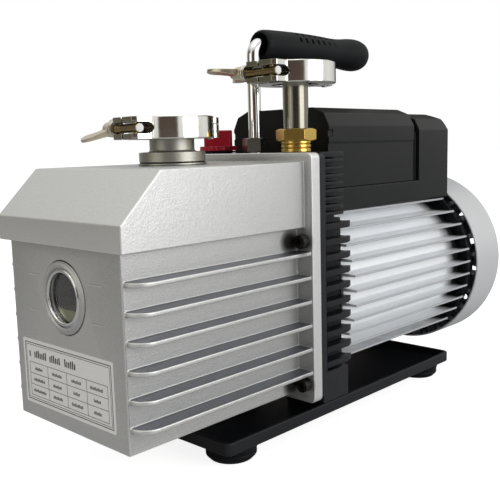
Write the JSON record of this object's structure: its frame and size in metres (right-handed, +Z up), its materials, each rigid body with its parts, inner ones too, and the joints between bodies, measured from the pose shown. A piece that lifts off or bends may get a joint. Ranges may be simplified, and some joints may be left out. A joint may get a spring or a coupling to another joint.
{
  "type": "rotary vane vacuum pump",
  "caption": "Oil-sealed rotary vane vacuum pump with finned oil tank, sight glass, clamped inlet and exhaust ports, finned motor, electrical box and carrying handle.",
  "frame": {"origin": "on the ground under the middle of the whole pump", "axes": "-Y is the oil tank end with the sight glass, +Y the fan cover, +Z up, +X the side of the inlet port"},
  "size_m": [0.156, 0.425, 0.2928],
  "materials": {
    "tank_paint": "silver hammer-fine sparkle paint on a casting",
    "black_paint": "black semi-gloss paint",
    "black_moulding": "satin moulded",
    "rubber": "matt",
    "clamp_aluminium": "polished",
    "chrome": "bright",
    "port_steel": "satin",
    "fastener_steel": "plated",
    "nickel": "nickel plated, warm",
    "brass": "machined",
    "motor_aluminium": "bright extruded",
    "cover_paint": "light grey powder coat",
    "red_plastic": "moulded",
    "sight_glass": "clear",
    "cast_iron": "machined"
  },
  "bodies": {
    "pump": {"oil_tank": "tank_paint", "sight_glass_bezel": "tank_paint", "pump_bracket": "black_paint", "base_tray": "black_paint", "rear_bell": "black_paint", "electrical_box": "black_moulding", "box_lid": "black_moulding", "power_inlet": "black_moulding", "foot_front_right": "rubber", "foot_front_left": "rubber", "foot_rear_right": "rubber", "foot_rear_left": "rubber", "handle_grip": "rubber", "exhaust_centring_ring": "rubber", "inlet_centring_ring": "rubber", "exhaust_fixed_jaw": "clamp_aluminium", "inlet_fixed_jaw": "clamp_aluminium", "exhaust_blank_cap": "clamp_aluminium", "inlet_blank_cap": "clamp_aluminium", "handle_rod": "chrome", "inlet_tube": "chrome", "exhaust_port": "port_steel", "handle_nut": "port_steel", "tank_screw_1": "fastener_steel", "tank_screw_2": "fastener_steel", "tank_screw_3": "fastener_steel", "tank_screw_4": "fastener_steel", "exhaust_hinge_pin": "fastener_steel", "inlet_hinge_pin": "fastener_steel", "exhaust_swing_bolt": "fastener_steel", "inlet_swing_bolt": "fastener_steel", "front_bearing": "fastener_steel", "rear_bearing": "fastener_steel", "exhaust_valve_cover": "fastener_steel", "inlet_fitting": "brass", "motor_housing": "motor_aluminium", "capacitor": "motor_aluminium", "fan_cover": "cover_paint", "sight_glass_lens": "sight_glass", "pump_stator": "cast_iron", "pump_end_cover": "cast_iron", "wound_stator": "cast_iron"},
    "shaft": {"motor_rotor": "cast_iron", "cooling_fan": "black_moulding", "shaft_coupling": "fastener_steel", "pump_rotor": "fastener_steel", "vane_1": "black_moulding", "vane_2": "black_moulding"},
    "exhaust_swing_jaw": {"exhaust_swing_jaw": "clamp_aluminium"},
    "exhaust_clamp_washer": {"exhaust_clamp_washer": "fastener_steel"},
    "exhaust_wing_nut": {"exhaust_wing_nut": "nickel"},
    "inlet_swing_jaw": {"inlet_swing_jaw": "clamp_aluminium"},
    "inlet_clamp_washer": {"inlet_clamp_washer": "fastener_steel"},
    "inlet_wing_nut": {"inlet_wing_nut": "nickel"},
    "oil_cap_seal": {"oil_cap_seal": "rubber"},
    "oil_fill_cap": {"oil_fill_cap": "red_plastic"},
    "drain_washer": {"drain_washer": "brass"},
    "drain_plug": {"drain_plug": "fastener_steel"},
    "rocker_switch": {"rocker_switch": "red_plastic"}
  },
  "joints": [
    {"name": "shaft_spin", "type": "hinge", "parent": "pump", "child": "shaft", "pos_m": [0, 0, 0.0958], "axis": [0, 1, 0], "continuous": true},
    {"name": "exhaust_clamp_washer_slide", "type": "slide", "parent": "pump", "child": "exhaust_clamp_washer", "axis": [-0.9945, 0.1045, 0], "range_m": [0, 0.006]},
    {"name": "exhaust_wing_nut_turn", "type": "hinge", "parent": "exhaust_clamp_washer", "child": "exhaust_wing_nut", "pos_m": [-0.02335, -0.14933, 0.2181], "axis": [-0.9945, 0.1045, 0], "range_deg": [0, 2165]},
    {"name": "exhaust_jaw_swing", "type": "hinge", "parent": "pump", "child": "exhaust_swing_jaw", "pos_m": [0.00345, -0.08568, 0.2181], "axis": [0, 0, -1], "range_deg": [0, 4.6]},
    {"name": "inlet_clamp_washer_slide", "type": "slide", "parent": "pump", "child": "inlet_clamp_washer", "axis": [-1, 0, 0], "range_m": [0, 0.006]},
    {"name": "inlet_wing_nut_turn", "type": "hinge", "parent": "inlet_clamp_washer", "child": "inlet_wing_nut", "pos_m": [0.02, -0.0701, 0.254], "axis": [-1, 0, 0], "range_deg": [0, 2165]},
    {"name": "inlet_jaw_swing", "type": "hinge", "parent": "pump", "child": "inlet_swing_jaw", "pos_m": [0.04, -0.004, 0.254], "axis": [0, 0, -1], "range_deg": [0, 4.6]},
    {"name": "oil_cap_seal_slide", "type": "slide", "parent": "pump", "child": "oil_cap_seal", "axis": [0, 0, 1], "range_m": [0, 0.015]},
    {"name": "oil_cap_turn", "type": "hinge", "parent": "oil_cap_seal", "child": "oil_fill_cap", "pos_m": [-0.04, -0.037, 0.21], "axis": [0, 0, 1], "range_deg": [0, 2165]},
    {"name": "drain_washer_slide", "type": "slide", "parent": "pump", "child": "drain_washer", "axis": [0, 0, -1], "range_m": [0, 0.0075]},
    {"name": "drain_plug_turn", "type": "hinge", "parent": "drain_washer", "child": "drain_plug", "pos_m": [0, -0.1735, 0.027], "axis": [0, 0, -1], "range_deg": [0, 1805]},
    {"name": "rocker_switch_tilt", "type": "hinge", "parent": "pump", "child": "rocker_switch", "pos_m": [-0.043, 0.1385, 0.209], "axis": [0, 1, 0], "range_deg": [0, 16]}
  ],
  "couplings": [
    {"joint": "exhaust_wing_nut_turn", "follows": "exhaust_clamp_washer_slide", "rad_per_m": 6283.2},
    {"joint": "exhaust_jaw_swing", "follows": "exhaust_clamp_washer_slide", "rad_per_m": 13.09},
    {"joint": "inlet_wing_nut_turn", "follows": "inlet_clamp_washer_slide", "rad_per_m": 6283.2},
    {"joint": "inlet_jaw_swing", "follows": "inlet_clamp_washer_slide", "rad_per_m": 13.09},
    {"joint": "oil_cap_turn", "follows": "oil_cap_seal_slide", "rad_per_m": 2513.3},
    {"joint": "drain_plug_turn", "follows": "drain_washer_slide", "rad_per_m": 4188.8}
  ]
}
